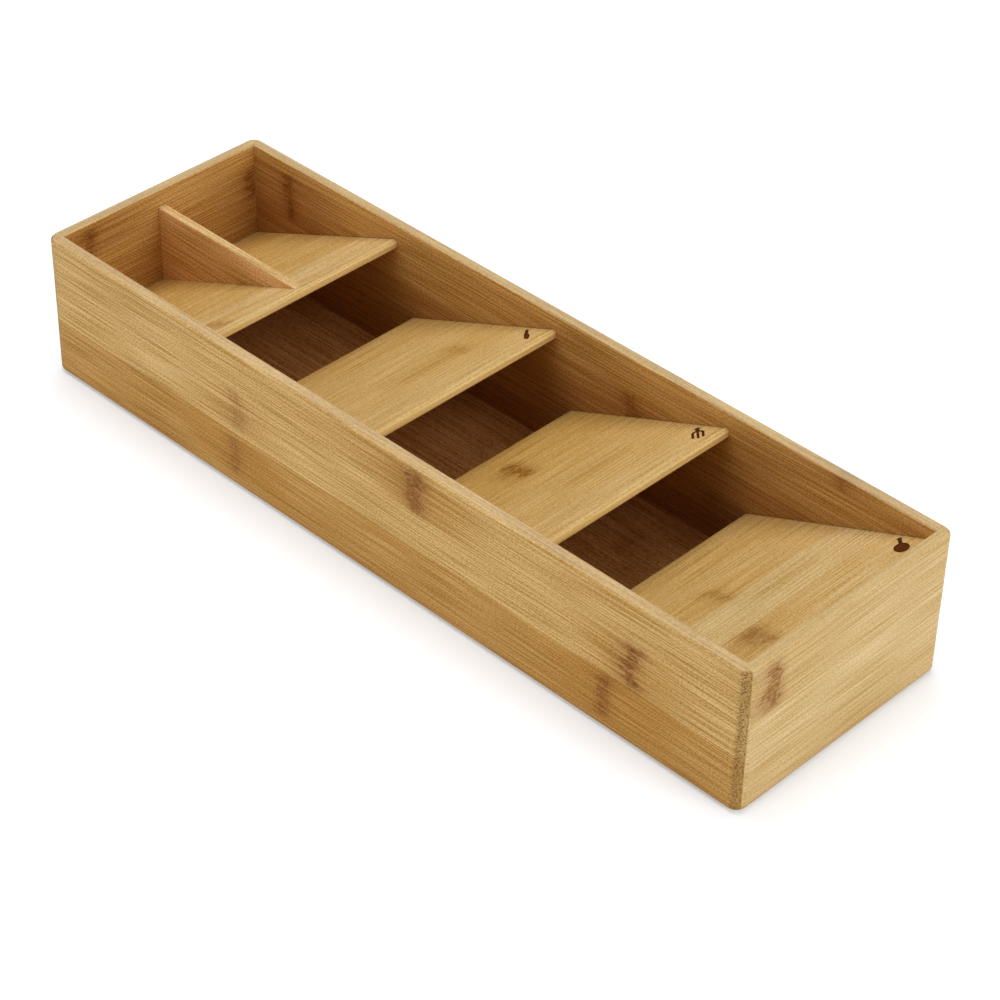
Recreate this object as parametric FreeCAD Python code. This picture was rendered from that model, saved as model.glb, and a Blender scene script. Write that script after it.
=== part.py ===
import FreeCAD, Part
import os
from math import cos, radians, sin, tan

# Cutlery tray of laminated bamboo board, in millimetres.
# X runs along the tray from the rear end to the front end, Y across it and Z up.
# The origin lies under the tray's centre, on the surface that its pads stand on.

# Tray
tray_length = 400.0
tray_width = 120.0
tray_height = 70.0

# Walls: the side walls run the full length, and the end walls sit in rebates cut in their ends
wall_thickness = 5.5
corner_lip = 2.5
corner_radius = 5.0
rim_outer_radius = 1.6
rim_inner_radius = 0.8
foot_edge_radius = 2.0

# Base panel: let into a rebate that runs round the foot of the walls
base_thickness = 3.0
base_rebate = 2.0

# Ramps: sloping boards with plumb-cut ends, held in housings in both side walls
ramp_angle = 23.0
ramp_thickness = 4.2
ramp_length = 93.5
spoon_ramp_length = 99.5
ramp_pitch = 96.0
first_nose_reach = 98.8
nose_drop = 6.8
spoon_ramp_drop = 4.5
nose_radius = 1.5
ramp_edge_radius = 1.0
housing_depth = 2.0

# Divider: a tapering board that stands on the rear ramp, let into it and into the rear wall
divider_thickness = 4.0
divider_setback = 3.5
divider_housing = 1.5
divider_edge_radius = 0.6

# Foot pads: soft discs glued into shallow round recesses under the base panel
pad_diameter = 12.0
pad_thickness = 1.5
pad_recess = 0.5
pad_edge_chamfer = 0.4
pad_end_inset = 26.0
pad_side_inset = 18.0

# Room left for glue where a board ends in a housing, and how far cuts run past an open face
glue_line = 0.1
overrun = 2.0
match_tolerance = 0.001

# Faces and levels that the boards share
half_length = tray_length / 2
half_width = tray_width / 2
rear_face = wall_thickness - half_length
front_face = half_length - wall_thickness
side_face = half_width - wall_thickness
underside = pad_thickness - pad_recess
base_top = underside + base_thickness
slope = tan(radians(ramp_angle))
slope_cos = cos(radians(ramp_angle))


def box_between(low, high):
    """Block between two opposite corners."""
    size = [b - a for a, b in zip(low, high)]
    return Part.makeBox(*size, FreeCAD.Vector(*low))


def level_edges(shape, level):
    """Edges that lie flat at one height."""
    return [edge for edge in shape.Edges
            if all(abs(vertex.Z - level) < match_tolerance for vertex in edge.Vertexes)]


def upright_edges(shape):
    """Edges that stand straight up."""
    return [edge for edge in shape.Edges
            if abs(edge.tangentAt(edge.FirstParameter).z) > 1 - match_tolerance]


def side_outline(corners, radii):
    """Closed outline in the X-Z plane through corners, each eased by its own radius."""
    points = [FreeCAD.Vector(x, 0, z) for x, z in corners]
    starts, ends, arcs = [], [], []
    for index, (corner, radius) in enumerate(zip(points, radii)):
        before = (points[index - 1] - corner).normalize()
        after = (points[(index + 1) % len(points)] - corner).normalize()
        half_turn = before.getAngle(after) / 2
        reach = radius / tan(half_turn)
        to_centre = (before + after).normalize()
        middle = corner + to_centre * (radius / sin(half_turn) - radius)
        starts.append(corner + before * reach)
        ends.append(corner + after * reach)
        arcs.append(Part.Arc(starts[-1], middle, ends[-1]) if radius else None)
    edges = []
    for index, arc in enumerate(arcs):
        if arc:
            edges.append(arc.toShape())
        edges.append(Part.makeLine(ends[index], starts[(index + 1) % len(points)]))
    return Part.Face(Part.Wire(edges))


def across(face, width):
    """Board of one outline, its width centred on the tray."""
    return face.extrude(FreeCAD.Vector(0, width, 0)).translated(FreeCAD.Vector(0, -width / 2, 0))


# Walls

def wall_ring():
    """The four walls as one frame, with the edges eased as they are after glueing."""
    block = box_between((-half_length, -half_width, underside), (half_length, half_width, tray_height))
    block = block.makeFillet(corner_radius, upright_edges(block))
    block = block.makeFillet(rim_outer_radius, level_edges(block, tray_height))
    block = block.makeFillet(foot_edge_radius, level_edges(block, underside))
    well = box_between((rear_face, -side_face, underside - overrun),
                       (front_face, side_face, tray_height + overrun))
    ring = block.cut(well)
    inner_rim = [edge for edge in level_edges(ring, tray_height)
                 if all(abs(vertex.Y) < side_face + match_tolerance for vertex in edge.Vertexes)
                 and all(abs(vertex.X) < front_face + match_tolerance for vertex in edge.Vertexes)]
    return ring.makeFillet(rim_inner_radius, inner_rim)


def base_seat():
    """Space that the base panel takes out of the foot of the walls."""
    reach_x = front_face + base_rebate
    reach_y = side_face + base_rebate
    return box_between((-reach_x, -reach_y, underside - overrun), (reach_x, reach_y, base_top))


def side_wall(ring, side, housings):
    """Long wall on one side, rebated at both ends and housed for the ramps."""
    inner, outer = sorted((side * side_face, side * half_width))
    wall = ring.common(box_between((-half_length, inner, underside), (half_length, outer, tray_height)))
    lip_face = side * (half_width - corner_lip)
    low, high = sorted((lip_face, side * (side_face - overrun)))
    for end in (-1, 1):
        start, stop = sorted((end * front_face, end * (half_length + overrun)))
        wall = wall.cut(box_between((start, low, underside - overrun), (stop, high, tray_height + overrun)))
    return wall.cut([base_seat()] + housings)


def end_wall(ring, end):
    """Short wall at one end, held between the lips of the side walls."""
    inner, outer = sorted((end * front_face, end * half_length))
    reach = half_width - corner_lip - glue_line
    wall = ring.common(box_between((inner, -reach, underside), (outer, reach, tray_height)))
    return wall.cut(base_seat())


# Base panel

def pad_places():
    """Names and centres of the four foot pads."""
    places = {}
    for end_name, end in (("rear", -1), ("front", 1)):
        for side_name, side in (("left", -1), ("right", 1)):
            places[f"foot_pad_{end_name}_{side_name}"] = (
                end * (half_length - pad_end_inset), side * (half_width - pad_side_inset))
    return places


def base_panel():
    """Flat panel with a round recess for each foot pad."""
    reach_x = front_face + base_rebate - glue_line
    reach_y = side_face + base_rebate - glue_line
    panel = box_between((-reach_x, -reach_y, underside), (reach_x, reach_y, base_top))
    recess_radius = pad_diameter / 2 + glue_line
    for x, y in pad_places().values():
        place = FreeCAD.Vector(x, y, underside - overrun)
        panel = panel.cut(Part.makeCylinder(recess_radius, overrun + pad_recess, place))
    return panel


# Ramps

first_nose = first_nose_reach - half_length
nose_level = tray_height - nose_drop
run = ramp_length * slope_cos
ramps = {
    "ramp_small_cutlery": {"low": rear_face, "nose": first_nose, "level": nose_level},
    "ramp_knives": {"nose": first_nose + ramp_pitch, "level": nose_level},
    "ramp_forks": {"nose": first_nose + ramp_pitch + ramp_pitch, "level": nose_level},
    "ramp_spoons": {"low": front_face - spoon_ramp_length * slope_cos, "nose": front_face,
                    "level": tray_height - spoon_ramp_drop},
}
for ramp in ramps.values():
    ramp.setdefault("low", ramp["nose"] - run)


def ramp_top(ramp, x):
    """Height of a ramp's upper face."""
    return ramp["level"] + (x - ramp["nose"]) * slope


def ramp_face(ramp, grow=0.0):
    """Outline of a ramp seen from the side, grown all round for its housing."""
    low, nose = ramp["low"] - grow, ramp["nose"] + grow
    lift = grow / slope_cos
    depth = ramp_thickness / slope_cos + lift
    corners = [(low, ramp_top(ramp, low) + lift), (nose, ramp_top(ramp, nose) + lift),
               (nose, ramp_top(ramp, nose) - depth), (low, ramp_top(ramp, low) - depth)]
    low_radius = 0.0 if ramp["low"] == rear_face else ramp_edge_radius + grow
    upper_radius, lower_radius = nose_radius + grow, ramp_edge_radius + grow
    if ramp["nose"] == front_face:
        upper_radius = lower_radius = 0.0
    return side_outline(corners, [low_radius, upper_radius, lower_radius, low_radius])


def ramp_board(ramp):
    """Sloping board whose two ends stand in the side walls."""
    return across(ramp_face(ramp), tray_width - 2 * (wall_thickness - housing_depth + glue_line))


def ramp_housing(ramp):
    """Space that a ramp takes out of both side walls."""
    return across(ramp_face(ramp, glue_line), tray_width - 2 * (wall_thickness - housing_depth))


# Divider

def divider_face(grow=0.0):
    """Tapering outline: level top, foot along the ramp, heel in the rear wall."""
    ramp = ramps["ramp_small_cutlery"]
    heel = rear_face - divider_housing - grow
    tip = first_nose - divider_setback
    top = ramp_top(ramp, tip)
    foot = (divider_housing + grow) / slope_cos
    corners = [(heel, top + grow), (tip + grow, top + grow),
               (tip + grow, ramp_top(ramp, tip + grow) - foot),
               (heel, ramp_top(ramp, heel) - foot)]
    return side_outline(corners, [0.0 for corner in corners])


def divider_board():
    """Divider with its two long top edges eased."""
    board = across(divider_face(), divider_thickness)
    top = board.BoundBox.ZMax
    long_edges = [edge for edge in level_edges(board, top) if edge.Length > divider_thickness]
    return board.makeFillet(divider_edge_radius, long_edges)


def divider_seat():
    """Space that the divider takes out of the rear ramp and the rear wall."""
    return across(divider_face(glue_line), divider_thickness + 2 * glue_line)


# Foot pads

def foot_pad(x, y):
    """Soft disc with a bevelled lower edge."""
    disc = Part.makeCylinder(pad_diameter / 2, pad_thickness, FreeCAD.Vector(x, y, 0))
    return disc.makeChamfer(pad_edge_chamfer, level_edges(disc, 0))


# Assembly

ring = wall_ring()
housings = [ramp_housing(ramp) for ramp in ramps.values()]
boards = {
    "side_wall_left": side_wall(ring, -1, housings),
    "side_wall_right": side_wall(ring, 1, housings),
    "end_wall_rear": end_wall(ring, -1).cut(divider_seat()),
    "end_wall_front": end_wall(ring, 1),
    "base_panel": base_panel(),
    "small_cutlery_divider": divider_board(),
}
for name, ramp in ramps.items():
    boards[name] = ramp_board(ramp)
boards["ramp_small_cutlery"] = boards["ramp_small_cutlery"].cut(divider_seat())
for name, place in pad_places().items():
    boards[name] = foot_pad(*place)

os.makedirs("parts", exist_ok=True)
for name, shape in boards.items():
    shape.exportStep(f"parts/{name}.step")
    print(name, len(shape.Solids), shape.isValid(), round(shape.Volume))
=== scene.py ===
import bpy
from math import radians, tan
from mathutils import Matrix, Vector


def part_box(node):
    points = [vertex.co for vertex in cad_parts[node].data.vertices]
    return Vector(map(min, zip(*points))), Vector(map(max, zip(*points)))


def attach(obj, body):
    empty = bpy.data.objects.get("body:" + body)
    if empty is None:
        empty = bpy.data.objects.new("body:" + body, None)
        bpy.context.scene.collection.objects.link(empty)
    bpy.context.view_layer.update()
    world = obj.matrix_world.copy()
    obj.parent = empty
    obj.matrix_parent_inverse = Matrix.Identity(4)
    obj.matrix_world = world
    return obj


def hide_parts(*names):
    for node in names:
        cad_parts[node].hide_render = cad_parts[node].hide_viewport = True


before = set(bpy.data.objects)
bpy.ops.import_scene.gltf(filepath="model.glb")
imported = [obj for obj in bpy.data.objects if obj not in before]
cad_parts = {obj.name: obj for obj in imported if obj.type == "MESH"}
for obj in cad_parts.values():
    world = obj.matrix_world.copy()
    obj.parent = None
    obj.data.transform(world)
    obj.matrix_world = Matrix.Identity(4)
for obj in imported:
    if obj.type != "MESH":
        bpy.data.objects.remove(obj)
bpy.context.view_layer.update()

# Side walls
# The two long boards of glued bamboo strips run the full length, so their ends show as dotted end grain.
# Rebates and housings on their inner faces hold the end walls, the base and the ramps.

MM = 0.001
lengthwise, crosswise, upright = (1, 0, 0), (0, 1, 0), (0, 0, 1)


def add_node(tree, kind, inputs, **settings):
    """Adds a node whose inputs are values or other nodes' sockets."""
    node = tree.nodes.new(kind)
    for setting, value in settings.items():
        setattr(node, setting, value)
    for socket, value in inputs.items():
        if isinstance(value, bpy.types.NodeSocket):
            tree.links.new(value, node.inputs[socket])
        else:
            node.inputs[socket].default_value = value
    return node


def new_finish(name):
    """A material with no nodes yet, and its node tree."""
    material = bpy.data.materials.new(name)
    material.use_nodes = True
    material.node_tree.nodes.clear()
    return material, material.node_tree


def reckon(tree, operation, *values):
    """One step of arithmetic."""
    return add_node(tree, "ShaderNodeMath", dict(enumerate(values)), operation=operation).outputs[0]


def fade(tree, value, start, end, low=0.0, high=1.0):
    """Smooth change from low to high while value goes from start to end."""
    limits = {"Value": value, "From Min": start, "From Max": end, "To Min": low, "To Max": high}
    return add_node(tree, "ShaderNodeMapRange", limits, interpolation_type="SMOOTHSTEP").outputs[0]


def shifted(tree, value, pattern, width):
    """Value shifted to and fro within a width by a pattern that runs from 0 to 1."""
    shift = reckon(tree, "MULTIPLY_ADD", pattern, width, -width / 2)
    return reckon(tree, "ADD", value, shift)


def stain(tree, share, ground, colour, way="MIX"):
    """Ground colour covered by another colour, or multiplied by it, as far as share says."""
    ground, colour = (
        value if isinstance(value, bpy.types.NodeSocket) else (*value, 1.0) for value in (ground, colour))
    inputs = {0: share, 6: ground, 7: colour}
    return add_node(tree, "ShaderNodeMix", inputs, data_type="RGBA", blend_type=way).outputs[2]


def placed(tree, corner=(0.0, 0.0, 0.0), turn=(0.0, 0.0, 0.0)):
    """Position on a piece in millimetres, counted from a corner along the piece's own axes."""
    source = add_node(tree, "ShaderNodeTexCoord", {}).outputs["Object"]
    inputs = {"Vector": source, "Location": corner, "Rotation": turn, "Scale": (MM, MM, MM)}
    return add_node(tree, "ShaderNodeMapping", inputs, vector_type="TEXTURE").outputs[0]


def stretched(tree, place, size):
    """Coordinates in which one patch of a pattern measures size, in millimetres."""
    return add_node(tree, "ShaderNodeVectorMath", {0: place, 1: size}, operation="DIVIDE").outputs[0]


def clouds(tree, place, size, detail=2.0):
    """Cloudy pattern whose patches measure size, in millimetres."""
    inputs = {"Vector": stretched(tree, place, size), "Scale": 1.0, "Detail": detail}
    return add_node(tree, "ShaderNodeTexNoise", inputs).outputs[0]


def cells(tree, place, size):
    """Pattern of separate cells that measure size, in millimetres."""
    inputs = {"Vector": stretched(tree, place, size), "Scale": 1.0}
    return add_node(tree, "ShaderNodeTexVoronoi", inputs).outputs


def surface(tree, colour, rough, height, relief, strength, gloss):
    """Ends a material: its colour, roughness, relief in millimetres and gloss."""
    inputs = {"Height": height, "Strength": strength, "Distance": relief * MM}
    normal = add_node(tree, "ShaderNodeBump", inputs).outputs[0]
    inputs = {"Base Color": colour, "Roughness": rough, "Normal": normal, "Specular IOR Level": gloss}
    shader = add_node(tree, "ShaderNodeBsdfPrincipled", inputs)
    add_node(tree, "ShaderNodeOutputMaterial", {0: shader.outputs[0]})


def joint(along, across, reach, depth, spread=8.0):
    """A joint of the bamboo stalk, placed in millimetres along and across a board."""
    return {"along": along, "across": across, "reach": reach, "depth": depth, "spread": spread}


def joint_shares(tree, place, mark):
    """Shares of a stalk joint's brown patch with its jagged rim, and of the warmer wood round it."""
    spread = mark["spread"]
    reach, level = add_node(tree, "ShaderNodeSeparateXYZ", {0: place}).outputs[:2]
    apart = reckon(tree, "ABSOLUTE", reckon(tree, "SUBTRACT", level, mark["across"]))
    inside = fade(tree, apart, mark["reach"] * 0.65, mark["reach"] + 1.0, mark["depth"], 0.0)
    crooked = shifted(tree, reach, clouds(tree, place, (40.0, 11.0, 11.0)), 16.0)
    along = reckon(tree, "SUBTRACT", crooked, mark["along"])
    ragged = shifted(tree, along, clouds(tree, place, (7.0, 1.1, 1.1)), 14.0)
    jagged = shifted(tree, along, clouds(tree, place, (2.2, 0.9, 0.9), 4.0), 9.0)

    # Patch: its body fades out on one side and ends in a dark rim on the other, with a thin wash round both
    start = fade(tree, ragged, -spread, -0.4 * spread)
    body = reckon(tree, "MULTIPLY", start, fade(tree, jagged, 0.0, 4.0, 0.9, 0.0))
    off_rim = reckon(tree, "ABSOLUTE", reckon(tree, "SUBTRACT", jagged, 0.8))
    rim = fade(tree, off_rim, 0.0, 1.4, 0.9, 0.0)
    mottle = fade(tree, clouds(tree, place, (2.8, 1.4, 1.4), 4.0), 0.34, 0.6, 0.5, 1.0)
    patch = reckon(tree, "MULTIPLY", reckon(tree, "MAXIMUM", body, rim), mottle)
    wash = fade(tree, along, -2.2 * spread, 0.0, 0.0, 0.35)
    wash = reckon(tree, "MULTIPLY", wash, fade(tree, along, 1.0, 8.0, 1.0, 0.0))
    patch = reckon(tree, "MAXIMUM", patch, wash)
    warmth = fade(tree, reckon(tree, "ABSOLUTE", along), 3.0, 45.0, 1.0, 0.0)
    return reckon(tree, "MULTIPLY", patch, inside), reckon(tree, "MULTIPLY", warmth, inside)


bundle_brown, end_brown, dot_brown = (0.30, 0.155, 0.012), (0.29, 0.165, 0.055), (0.16, 0.075, 0.01)
joint_brown, foot_shade_brown, glue_and_seam_shadow = (0.40, 0.215, 0.0), (0.27, 0.14, 0.045), (0.20, 0.085, 0.015)
line_shade = Vector((0.155, 0.215, 0.40))


def bamboo(name, corner, along, across, width, strips, joints, tones, contrast=1.0, end_cut=0.5, back=None,
           seams=None):
    """Bamboo board: strips of pale to warm tones side by side, long fibres, end grain and stalk joints."""
    pale, warm, eased_tone, narrow_tone = tones
    material, tree = new_finish(name)
    along, across = Vector(along), Vector(across)
    turn = Matrix((along, across, along.cross(across))).transposed().to_euler()
    place = placed(tree, corner, turn)
    reach, level = add_node(tree, "ShaderNodeSeparateXYZ", {0: place}).outputs[:2]

    # Faces: cut ends of the fibres, eased edges, and the narrow faces that show the strips' sides
    normal = add_node(tree, "ShaderNodeTexCoord", {}).outputs["Normal"]
    inputs = {"Vector": normal, "Rotation": turn}
    normal = add_node(tree, "ShaderNodeMapping", inputs, vector_type="TEXTURE").outputs[0]
    facing = add_node(tree, "ShaderNodeSeparateXYZ", {0: normal}).outputs
    square = [reckon(tree, "ABSOLUTE", side) for side in facing]
    end_grain = fade(tree, square[0], end_cut, end_cut + 0.45)
    flatness = reckon(tree, "MAXIMUM", reckon(tree, "MAXIMUM", square[0], square[1]), square[2])
    off_ends = fade(tree, end_grain, 0.0, 0.5, 0.3, 0.0)
    eased = reckon(tree, "MULTIPLY", fade(tree, flatness, 0.99, 0.80), off_ends)
    narrow = fade(tree, square[1], 0.84, 0.92, 0.0, 0.45)

    # Fibres: dark bundles along the board, which show as dots where they are cut across
    drift = clouds(tree, place, (160.0, 20.0, 20.0))
    sway = add_node(tree, "ShaderNodeCombineXYZ", {1: reckon(tree, "MULTIPLY", drift, 3.0)}).outputs[0]
    grain = add_node(tree, "ShaderNodeVectorMath", {0: place, 1: sway}, operation="ADD").outputs[0]
    bundles = cells(tree, grain, (75.0, 1.2, 1.2))
    core = fade(tree, bundles["Distance"], 0.50, 0.20)
    chance = add_node(tree, "ShaderNodeSeparateColor", {0: bundles["Color"]}).outputs[0]
    bundle = reckon(tree, "MULTIPLY", core, fade(tree, chance, 0.0, 1.0, 0.06 * contrast, 0.34 * contrast))
    dots = cells(tree, grain, (1.3, 0.85, 0.85))["Distance"]
    dots = reckon(tree, "MULTIPLY", fade(tree, dots, 0.52, 0.24, 0.0, 0.85), end_grain)
    streak = clouds(tree, grain, (120.0, 1.7, 1.7))
    lines = clouds(tree, grain, (45.0, 0.62, 0.62), 1.0)
    pores = clouds(tree, place, (1.0, 0.55, 0.55), 1.0)
    broad = clouds(tree, place, (75.0, 17.0, 17.0))

    # Strips: each of its own tone, warmer round a stalk joint
    strip_tones = add_node(tree, "ShaderNodeValToRGB", {0: reckon(tree, "DIVIDE", level, width)})
    strip_tones.color_ramp.interpolation = "CONSTANT"
    stops = strip_tones.color_ramp.elements
    for index, (begin, lightness) in enumerate(strips):
        stop = stops[index] if index < 2 else stops.new(1.0)
        stop.position = begin / width
        stop.color = (lightness, lightness, lightness, 1.0)
    patch = warmth = 0.0
    for mark in joints:
        brown, warmed = joint_shares(tree, place, mark)
        patch = reckon(tree, "MAXIMUM", patch, brown)
        warmth = reckon(tree, "MAXIMUM", warmth, warmed)
    tone = shifted(tree, strip_tones.outputs[0], broad, 0.6)
    tone = shifted(tree, tone, streak, 0.25)
    tone = reckon(tree, "MULTIPLY_ADD", warmth, -0.5, tone)
    tone = add_node(tree, "ShaderNodeClamp", {0: tone}).outputs[0]

    # Colour: strips, bundles, fine lines, pores, end grain, stalk joints, painted contact shade at the
    # foot, glue with painted seam shadow, and edge tones that are painted highlight and painted shade
    colour = stain(tree, tone, warm, pale)
    # The two faces can take different tones: the darker ones on the walls' inner faces and on the base's
    # top are painted shade
    if back:
        back_pale, back_warm = back
        back_colour = stain(tree, tone, back_warm, back_pale)
        colour = stain(tree, fade(tree, facing[2], -0.3, -0.6), colour, back_colour)
    colour = stain(tree, bundle, colour, bundle_brown)
    shade = fade(tree, lines, 0.36, 0.64, -1.25, 1.25)
    shade = reckon(tree, "ADD", shade, fade(tree, pores, 0.30, 0.70, -1.2, 1.2))
    inputs = {0: shade, 1: line_shade * contrast, 2: (1.0, 1.0, 1.0)}
    shade = add_node(tree, "ShaderNodeVectorMath", inputs, operation="MULTIPLY_ADD").outputs[0]
    colour = add_node(tree, "ShaderNodeVectorMath", {0: colour, 1: shade}, operation="MULTIPLY").outputs[0]
    colour = stain(tree, reckon(tree, "MULTIPLY", end_grain, 0.55), colour, end_brown)
    colour = stain(tree, dots, colour, dot_brown)
    colour = stain(tree, patch, colour, joint_brown, "MULTIPLY")
    # Darker along the lower edge of every board: painted contact shade at the foot
    colour = stain(tree, fade(tree, level, 0.5, 4.5, 0.3, 0.0), colour, foot_shade_brown)
    if seams:
        # Darker where the ramps meet the side walls: partly glue, partly painted shadow in the seam
        apart = reckon(tree, "ABSOLUTE", reckon(tree, "SUBTRACT", reach, sum(seams) / 2))
        edge = (seams[1] - seams[0]) / 2
        colour = stain(tree, fade(tree, apart, edge - 0.7, edge - 0.2, 0.0, 0.6), colour, glue_and_seam_shadow)
    # Eased edges take their own tone: a painted highlight on the walls and divider, painted shade on the
    # ramps, the front wall and the base
    colour = stain(tree, eased, colour, eased_tone)
    # Narrow faces take their own tone: painted light on the ramps' noses, painted shade on the front wall's
    # rim and the base, and a paler, greyer tone on the other walls' rims
    colour = stain(tree, narrow, colour, narrow_tone)

    height = reckon(tree, "MULTIPLY_ADD", lines, 0.5, reckon(tree, "MULTIPLY", core, -0.5))
    rough = reckon(tree, "MULTIPLY_ADD", streak, 0.22, 0.42)
    surface(tree, colour, rough, height, relief=0.12, strength=0.4, gloss=0.15)
    return material


def coat(node, material):
    """Gives a piece of the frame its surface."""
    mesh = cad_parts[node].data
    mesh.materials.clear()
    mesh.materials.append(material)


straw, honey = (0.655, 0.425, 0.15), (0.465, 0.225, 0.042)
# Darker, redder tones for the walls' inner faces, also used on the base's edges: painted shade of the
# tray's inside
inner_shade_pale, inner_shade_warm = (0.58, 0.32, 0.09), (0.37, 0.16, 0.045)
# Lighter tone for eased edges, a painted highlight, and paler, greyer tones for the walls' rims
edge_highlight, pale_rim_tone, grey_rim_tone = (0.66, 0.47, 0.25), (0.54, 0.41, 0.265), (0.54, 0.48, 0.305)
rounded_end_cut = 0.02

low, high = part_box("side_wall_left")
wall_height = (high.z - low.z) / MM
coat("side_wall_left", bamboo(
    "bamboo_wall_left", low, lengthwise, upright, wall_height,
    strips=((0.0, 0.12), (3.5, 0.2), (27.5, 0.8), (51.5, 0.68)),
    joints=[joint(123.0, 40.0, 11.5, 0.45), joint(120.0, 16.0, 11.0, 0.55),
            joint(231.0, 56.5, 12.0, 1.0, 11.0), joint(346.5, 39.0, 12.5, 1.0, 9.0),
            joint(333.0, 16.0, 12.0, 0.8)],
    tones=(straw, honey, edge_highlight, pale_rim_tone), end_cut=rounded_end_cut, back=(inner_shade_pale, inner_shade_warm)))

low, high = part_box("side_wall_right")
coat("side_wall_right", bamboo(
    "bamboo_wall_right", (low.x, high.y, low.z), lengthwise, upright, wall_height,
    # Its strips darken towards the bottom: painted shade of the compartments
    strips=((0.0, 0.05), (17.0, 0.28), (41.0, 0.58), (64.0, 0.87)),
    joints=[joint(30.0, 51.5, 14.0, 0.9, 5.0), joint(240.0, 45.0, 7.0, 0.7),
            joint(348.0, 66.0, 4.0, 0.6, 5.0)],
    tones=(inner_shade_pale, inner_shade_warm, edge_highlight, grey_rim_tone), end_cut=rounded_end_cut, back=(straw, honey)))

# End walls
# The two short boards, of the same glued bamboo strips, with the fibres across the tray.
# They are glued between the lips that the side walls leave at the corners.

low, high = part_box("end_wall_rear")
coat("end_wall_rear", bamboo(
    "bamboo_wall_rear", low, crosswise, upright, wall_height,
    strips=((0.0, 0.5), (20.0, 0.6), (44.0, 0.8)),
    joints=[joint(17.5, 59.0, 8.0, 0.9, 6.0), joint(110.0, 50.0, 9.0, 0.8, 6.0)],
    tones=(inner_shade_pale, inner_shade_warm, edge_highlight, grey_rim_tone), back=(straw, honey)))

flax, biscuit = (0.61, 0.425, 0.187), (0.56, 0.36, 0.137)
# Darker tones for the front wall's eased edges and rim: painted shade
front_edge_shade, front_rim_shade = (0.50, 0.34, 0.15), (0.56, 0.40, 0.19)
low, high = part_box("end_wall_front")
coat("end_wall_front", bamboo(
    "bamboo_wall_front", (high.x, low.y, low.z), crosswise, upright, wall_height,
    strips=((0.0, 0.5), (19.0, 0.95), (43.0, 0.5)),
    joints=[joint(14.0, 55.5, 13.0, 1.0, 11.0)],
    tones=(flax, biscuit, front_edge_shade, front_rim_shade), contrast=0.65))

# Base panel
# Thin bamboo panel with the fibres along the tray, seen in the shade between the ramps.
# It is let into a rebate round the foot of the walls and glued there.

# Dark tones for the base's top: painted shade of the slots between the ramps
base_shade_pale, base_shade_warm = (0.60, 0.29, 0.095), (0.48, 0.205, 0.06)
low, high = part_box("base_panel")
coat("base_panel", bamboo(
    "bamboo_base", low, lengthwise, crosswise, (high.y - low.y) / MM,
    strips=((0.0, 0.3), (24.0, 0.6), (48.0, 0.4), (72.0, 0.6), (96.0, 0.35)),
    joints=[joint(150.0, 30.0, 11.0, 0.5), joint(262.0, 84.0, 11.0, 0.5)],
    tones=(base_shade_pale, base_shade_warm, inner_shade_warm, inner_shade_warm), back=(straw, honey)))

# Foot pads
# Soft discs of grey silicone under the four corners, so that the tray does not slide.
# They are glued into shallow round recesses in the base panel.

light_grey, mid_grey, speck_grey = (0.62, 0.62, 0.60), (0.50, 0.50, 0.49), (0.30, 0.28, 0.25)
silicone, tree = new_finish("silicone")
place = placed(tree)
cloud = clouds(tree, place, (3.0, 3.0, 3.0), 3.0)
speck = fade(tree, clouds(tree, place, (0.35, 0.35, 0.35)), 0.62, 0.72, 0.0, 0.5)
colour = stain(tree, cloud, mid_grey, light_grey)
colour = stain(tree, speck, colour, speck_grey)
rough = fade(tree, cloud, 0.3, 0.7, 0.42, 0.62)
surface(tree, colour, rough, cloud, relief=0.1, strength=0.3, gloss=0.5)
for end in ("rear", "front"):
    for side in ("left", "right"):
        coat(f"foot_pad_{end}_{side}", silicone)

# Ramps
# Four sloping bamboo boards that stand in housings in the side walls, with the fibres across the tray.
# Three carry a small sign burnt into the high corner: a knife, a fork and a spoon.

slope = radians(23.0)
up_slope = Vector((1.0, 0.0, tan(slope))).normalized()
face_normal = Vector((-tan(slope), 0.0, 1.0)).normalized()
side_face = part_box("side_wall_right")[0].y
sand, wheat = (0.645, 0.445, 0.195), (0.55, 0.325, 0.088)
# Darker eased edges and lighter nose faces of the ramps: painted shade and painted light
ramp_edge_shade, nose_face_light = (0.45, 0.30, 0.11), (0.80, 0.57, 0.22)
soot, scorch = (0.05, 0.0115, 0.0006), (0.115, 0.03, 0.003)
sign_depth, weld_gap, sliver_gap = 0.35 * MM, 0.005 * MM, 0.01 * MM
flat_angle, sharp_angle = radians(0.2), radians(30.0)

burnt, tree = new_finish("burnt_bamboo")
char = clouds(tree, placed(tree), (0.4, 12.0, 0.4), 3.0)
colour = stain(tree, fade(tree, char, 0.3, 0.7), soot, scorch)
rough = fade(tree, char, 0.3, 0.7, 0.7, 0.9)
surface(tree, colour, rough, char, relief=0.15, strength=0.5, gloss=0.08)


def ramp_bamboo(node, strips, joints):
    """Bamboo of one ramp, its strips counted up the slope, with glue and painted seam shadow at the side
    walls.
    """
    low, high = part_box(node)
    length = (high - low).dot(up_slope) / MM
    seams = [(face - low.y) / MM for face in (-side_face, side_face)]
    return bamboo("bamboo_" + node, low, crosswise, up_slope, length, strips, joints,
                  tones=(sand, wheat, ramp_edge_shade, nose_face_light), contrast=0.75, seams=seams)


def select_only(piece):
    """Makes a piece the only one that the operators act on."""
    bpy.ops.object.select_all(action="DESELECT")
    piece.select_set(True)
    bpy.context.view_layer.objects.active = piece


def join_or_cut(piece, operation, other):
    """Joins another piece to this one, or cuts it out with its finish left behind, and uses it up."""
    change = piece.modifiers.new("change", "BOOLEAN")
    change.operation = operation
    change.solver = "EXACT"
    change.material_mode = "TRANSFER"
    change.object = other
    select_only(piece)
    bpy.ops.object.modifier_apply(modifier="change")
    bpy.data.objects.remove(other, do_unlink=True)


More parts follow.
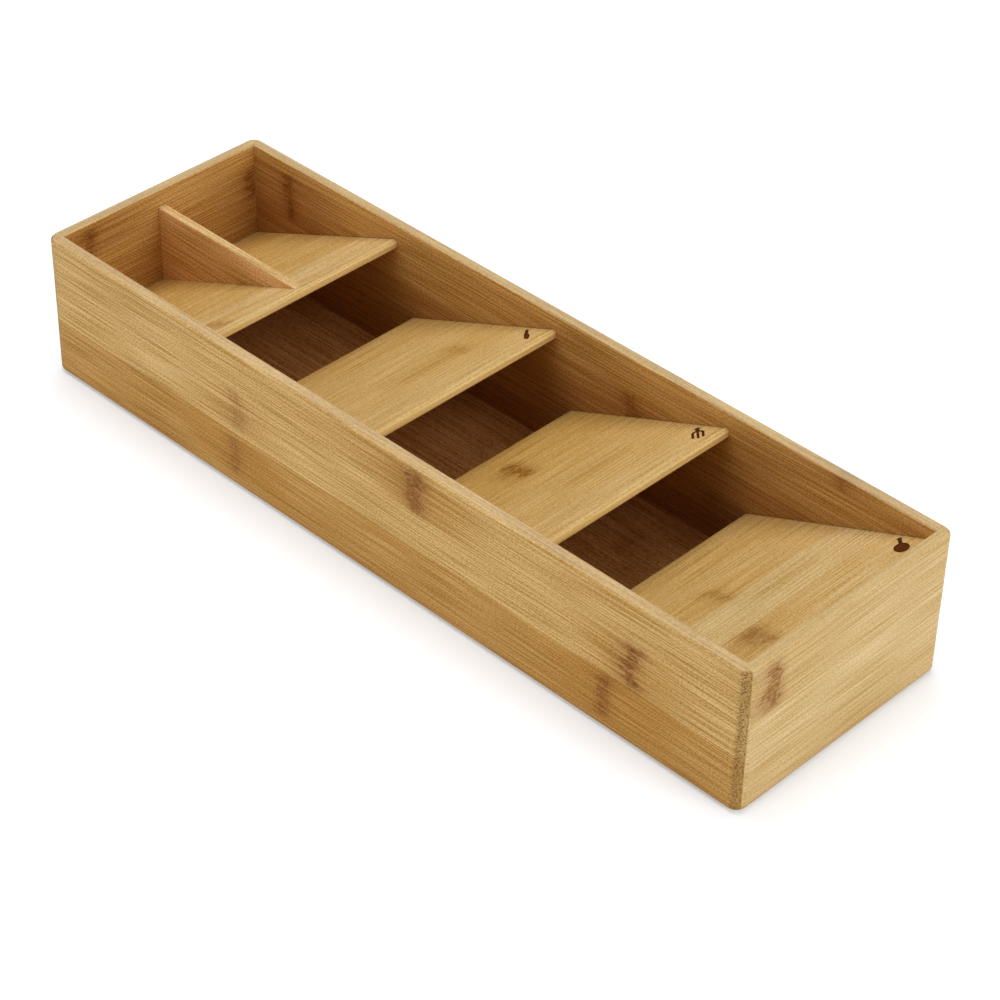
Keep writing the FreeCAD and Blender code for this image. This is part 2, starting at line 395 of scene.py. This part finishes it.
def sign_stamp(spot, blocks, discs, arches):
    """Stamp in the shape of a sign, made flat and then set diagonally at a spot on a ramp."""
    bpy.ops.object.select_all(action="DESELECT")
    parts = []
    for start, end, aside, width in blocks:
        middle = ((start + end) / 2 * MM, aside * MM, 0.0)
        size = ((end - start) * MM, width * MM, 2 * sign_depth)
        bpy.ops.mesh.primitive_cube_add(size=1.0, location=middle, scale=size)
        parts.append(bpy.context.object)
    for along, aside, length, width in discs:
        middle = (along * MM, aside * MM, 0.0)
        size = (length * MM, width * MM, 2 * sign_depth)
        bpy.ops.mesh.primitive_cylinder_add(vertices=40, radius=0.5, depth=1.0, location=middle, scale=size)
        parts.append(bpy.context.object)
    for along, radius, thickness in arches:
        middle = (along * MM, 0.0, 0.0)
        bpy.ops.mesh.primitive_torus_add(major_segments=48, minor_segments=12, major_radius=radius * MM,
                                         minor_radius=thickness / 2 * MM, location=middle)
        parts.append(bpy.context.object)
        bpy.ops.object.mode_set(mode="EDIT")
        bpy.ops.mesh.select_all(action="SELECT")
        bpy.ops.mesh.bisect(plane_co=middle, plane_no=lengthwise, use_fill=True, clear_outer=True)
        bpy.ops.object.mode_set(mode="OBJECT")
    for part in parts:
        select_only(part)
        bpy.ops.object.transform_apply(location=True, rotation=True, scale=True)
        part.data.materials.append(burnt)
    stamp = parts[0]
    for part in parts[1:]:
        join_or_cut(stamp, "UNION", part)
    length_way = (up_slope + Vector((0.0, -1.0, 0.0))).normalized()
    width_way = face_normal.cross(length_way)
    stamp.location = spot
    stamp.rotation_euler = Matrix((length_way, width_way, face_normal)).transposed().to_euler()
    select_only(stamp)
    bpy.ops.object.transform_apply(location=True, rotation=True, scale=True)
    return stamp


def engraved_ramp(node, material, from_nose, from_wall, blocks, discs, arches=()):
    """Ramp of the frame with a sign sunk into its high corner, in millimetres from nose and side wall."""
    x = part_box(node)[1].x - from_nose * MM
    y = side_face - from_wall * MM
    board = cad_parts[node].copy()
    board.data = board.data.copy()
    board.name = node + "_board"
    bpy.context.scene.collection.objects.link(board)
    select_only(board)
    bpy.ops.object.mode_set(mode="EDIT")
    bpy.ops.mesh.select_all(action="SELECT")
    bpy.ops.mesh.remove_doubles(threshold=weld_gap)
    bpy.ops.mesh.dissolve_limited(angle_limit=flat_angle)
    bpy.ops.object.mode_set(mode="OBJECT")
    board.data.materials.clear()
    board.data.materials.append(material)
    lift = max(point.co.z - point.co.x * tan(slope) for point in board.data.vertices)
    stamp = sign_stamp(Vector((x, y, x * tan(slope) + lift)), blocks, discs, arches)
    join_or_cut(board, "DIFFERENCE", stamp)
    bpy.ops.object.mode_set(mode="EDIT")
    bpy.ops.mesh.select_all(action="SELECT")
    bpy.ops.mesh.quads_convert_to_tris()
    bpy.ops.mesh.remove_doubles(threshold=sliver_gap)
    bpy.ops.object.mode_set(mode="OBJECT")
    bpy.ops.object.shade_smooth_by_angle(angle=sharp_angle)
    board.modifiers.new("faces", "WEIGHTED_NORMAL").keep_sharp = True
    bpy.ops.object.modifier_apply(modifier="faces")
    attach(board, "root")
    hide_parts(node)


coat("ramp_small_cutlery", ramp_bamboo(
    "ramp_small_cutlery",
    # Its strips darken towards the low end: painted shade of the compartment
    strips=((0.0, 0.05), (26.0, 0.12), (52.0, 0.25), (78.0, 0.7)),
    joints=[joint(16.0, 93.0, 7.0, 0.6, 6.0)]))

# Signs, in millimetres along and across each: blocks have a start, end, place aside and width,
# discs a place along and aside, length and width, and arches a place along, radius and thickness
knives_bamboo = ramp_bamboo(
    "ramp_knives",
    strips=((0.0, 0.25), (22.0, 0.4), (48.0, 0.35), (74.0, 0.5)),
    joints=[joint(86.0, 60.0, 10.0, 0.4)])
engraved_ramp(
    "ramp_knives", knives_bamboo, from_nose=10.2, from_wall=7.1,
    blocks=[(-6.0, -1.8, 0.0, 1.5), (-2.0, 4.6, -0.35, 1.7)],
    discs=[(2.2, 0.35, 7.4, 1.9), (-6.0, 0.0, 1.5, 1.5)])

forks_bamboo = ramp_bamboo(
    "ramp_forks",
    # Its strips darken towards the low end: painted shadow of cutlery
    strips=((0.0, 0.0), (24.0, 0.12), (50.0, 0.3), (76.0, 0.5)),
    joints=[joint(58.0, 26.0, 12.0, 1.0, 9.0)])
prong_width, prong_aside, outer_end, middle_end = 1.15, 2.15, 4.6, 5.4
engraved_ramp(
    "ramp_forks", forks_bamboo, from_nose=10.2, from_wall=7.1,
    blocks=[(-5.4, -1.4, 0.0, 1.7), (-2.0, middle_end, 0.0, prong_width),
            (0.0, outer_end, -prong_aside, prong_width), (0.0, outer_end, prong_aside, prong_width)],
    discs=[(outer_end, -prong_aside, prong_width, prong_width), (middle_end, 0.0, prong_width, prong_width),
           (outer_end, prong_aside, prong_width, prong_width), (-5.2, 0.0, 1.7, 2.6)],
    arches=[(0.1, prong_aside, 1.3)])

spoons_bamboo = ramp_bamboo(
    "ramp_spoons",
    strips=((0.0, 0.28), (24.0, 0.4), (52.0, 0.9), (76.0, 0.55)),
    joints=[joint(48.0, 44.0, 9.0, 0.55, 7.0), joint(28.2, 85.6, 10.5, 0.75, 12.0)])
engraved_ramp(
    "ramp_spoons", spoons_bamboo, from_nose=10.1, from_wall=7.2,
    blocks=[(-6.5, -0.5, 0.0, 1.6)],
    discs=[(2.6, 0.0, 8.8, 6.4), (-6.2, 0.0, 1.6, 2.4)])

# Divider
# Tapering bamboo board that splits the rear compartment in two, with the fibres along the tray.
# It stands on the rear ramp and is let into it and into the rear wall.

# The divider's tones are brighter than the other boards': painted light
divider_painted_light_pale, divider_painted_light_warm, divider_rim = (0.80, 0.475, 0.20), (0.69, 0.37, 0.125), (0.43, 0.34, 0.155)
low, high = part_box("small_cutlery_divider")
coat("small_cutlery_divider", bamboo(
    "bamboo_divider", low, lengthwise, upright, (high.z - low.z) / MM,
    strips=((0.0, 0.5), (19.0, 0.65)), joints=[], tones=(divider_painted_light_pale, divider_painted_light_warm, edge_highlight, divider_rim)))

# Floor, light and camera
# White studio floor, which glows more away from the tray, so that the background is white from every side.
# One large soft lamp hangs overhead, with weaker ones in front and on the near side.

white = (1.0, 1.0, 1.0, 1.0)
floor_paint = (0.83, 0.86, 0.905, 1.0)
floor_size = 8.0
near_radius, far_radius, near_glow, far_glow = 0.45, 0.9, 0.33, 1.0
dome_strength = 0.2


def background_rays(tree):
    """Rays that show the white background: straight to the camera, or by way of gloss or glass."""
    rays = add_node(tree, "ShaderNodeLightPath", {}).outputs
    seen = reckon(tree, "MAXIMUM", rays["Is Camera Ray"], rays["Is Glossy Ray"])
    return reckon(tree, "MAXIMUM", seen, rays["Is Transmission Ray"])


bpy.ops.object.select_all(action="DESELECT")
bpy.ops.mesh.primitive_plane_add(size=floor_size)
floor = bpy.context.object
floor.name = "floor"
floor_white, tree = new_finish("floor_white")
paint = add_node(tree, "ShaderNodeBsdfDiffuse", {"Color": floor_paint})
source = add_node(tree, "ShaderNodeTexCoord", {}).outputs["Object"]
away = add_node(tree, "ShaderNodeVectorMath", {0: source}, operation="LENGTH").outputs["Value"]
strength = fade(tree, away, near_radius, far_radius, near_glow, far_glow)
strength = reckon(tree, "MULTIPLY", background_rays(tree), strength)
glow = add_node(tree, "ShaderNodeEmission", {"Color": white, "Strength": strength})
both = add_node(tree, "ShaderNodeAddShader", {0: paint.outputs[0], 1: glow.outputs[0]})
add_node(tree, "ShaderNodeOutputMaterial", {0: both.outputs[0]})
floor.data.materials.append(floor_white)

world = bpy.data.worlds.new("studio")
bpy.context.scene.world = world
world.use_nodes = True
tree = world.node_tree
tree.nodes.clear()
dome = add_node(tree, "ShaderNodeBackground", {"Color": white, "Strength": dome_strength})
plain = add_node(tree, "ShaderNodeBackground", {"Color": white, "Strength": 1.0})
inputs = {0: background_rays(tree), 1: dome.outputs[0], 2: plain.outputs[0]}
both = add_node(tree, "ShaderNodeMixShader", inputs)
add_node(tree, "ShaderNodeOutputWorld", {0: both.outputs[0]})

for name, place, size, power in (
    ("overhead", (-0.25, 0.1, 1.5), 1.4, 19.0),
    ("front_low", (1.7, 0.2, 0.35), 0.8, 13.4),
    ("front_high", (1.2, 0.2, 1.2), 0.8, 2.8),
    ("near_low", (-0.1, -1.8, 0.35), 0.8, 10.2),
):
    lamp_data = bpy.data.lights.new(name, "AREA")
    lamp_data.energy = power
    lamp_data.size = size
    lamp = bpy.data.objects.new(name, lamp_data)
    lamp.location = place
    lamp.rotation_euler = (-lamp.location).to_track_quat("-Z", "Y").to_euler()
    bpy.context.scene.collection.objects.link(lamp)

camera_data = bpy.data.cameras.new("camera")
camera_data.sensor_width = 36.0
camera_data.lens = 107.60
camera = bpy.data.objects.new("camera", camera_data)
camera.location = (0.69188, -0.70325, 0.77504)
camera.rotation_euler = (radians(52.042), radians(-1.001), radians(44.611))
bpy.context.scene.collection.objects.link(camera)
bpy.context.scene.camera = camera

bpy.context.scene.view_settings.view_transform = "Standard"
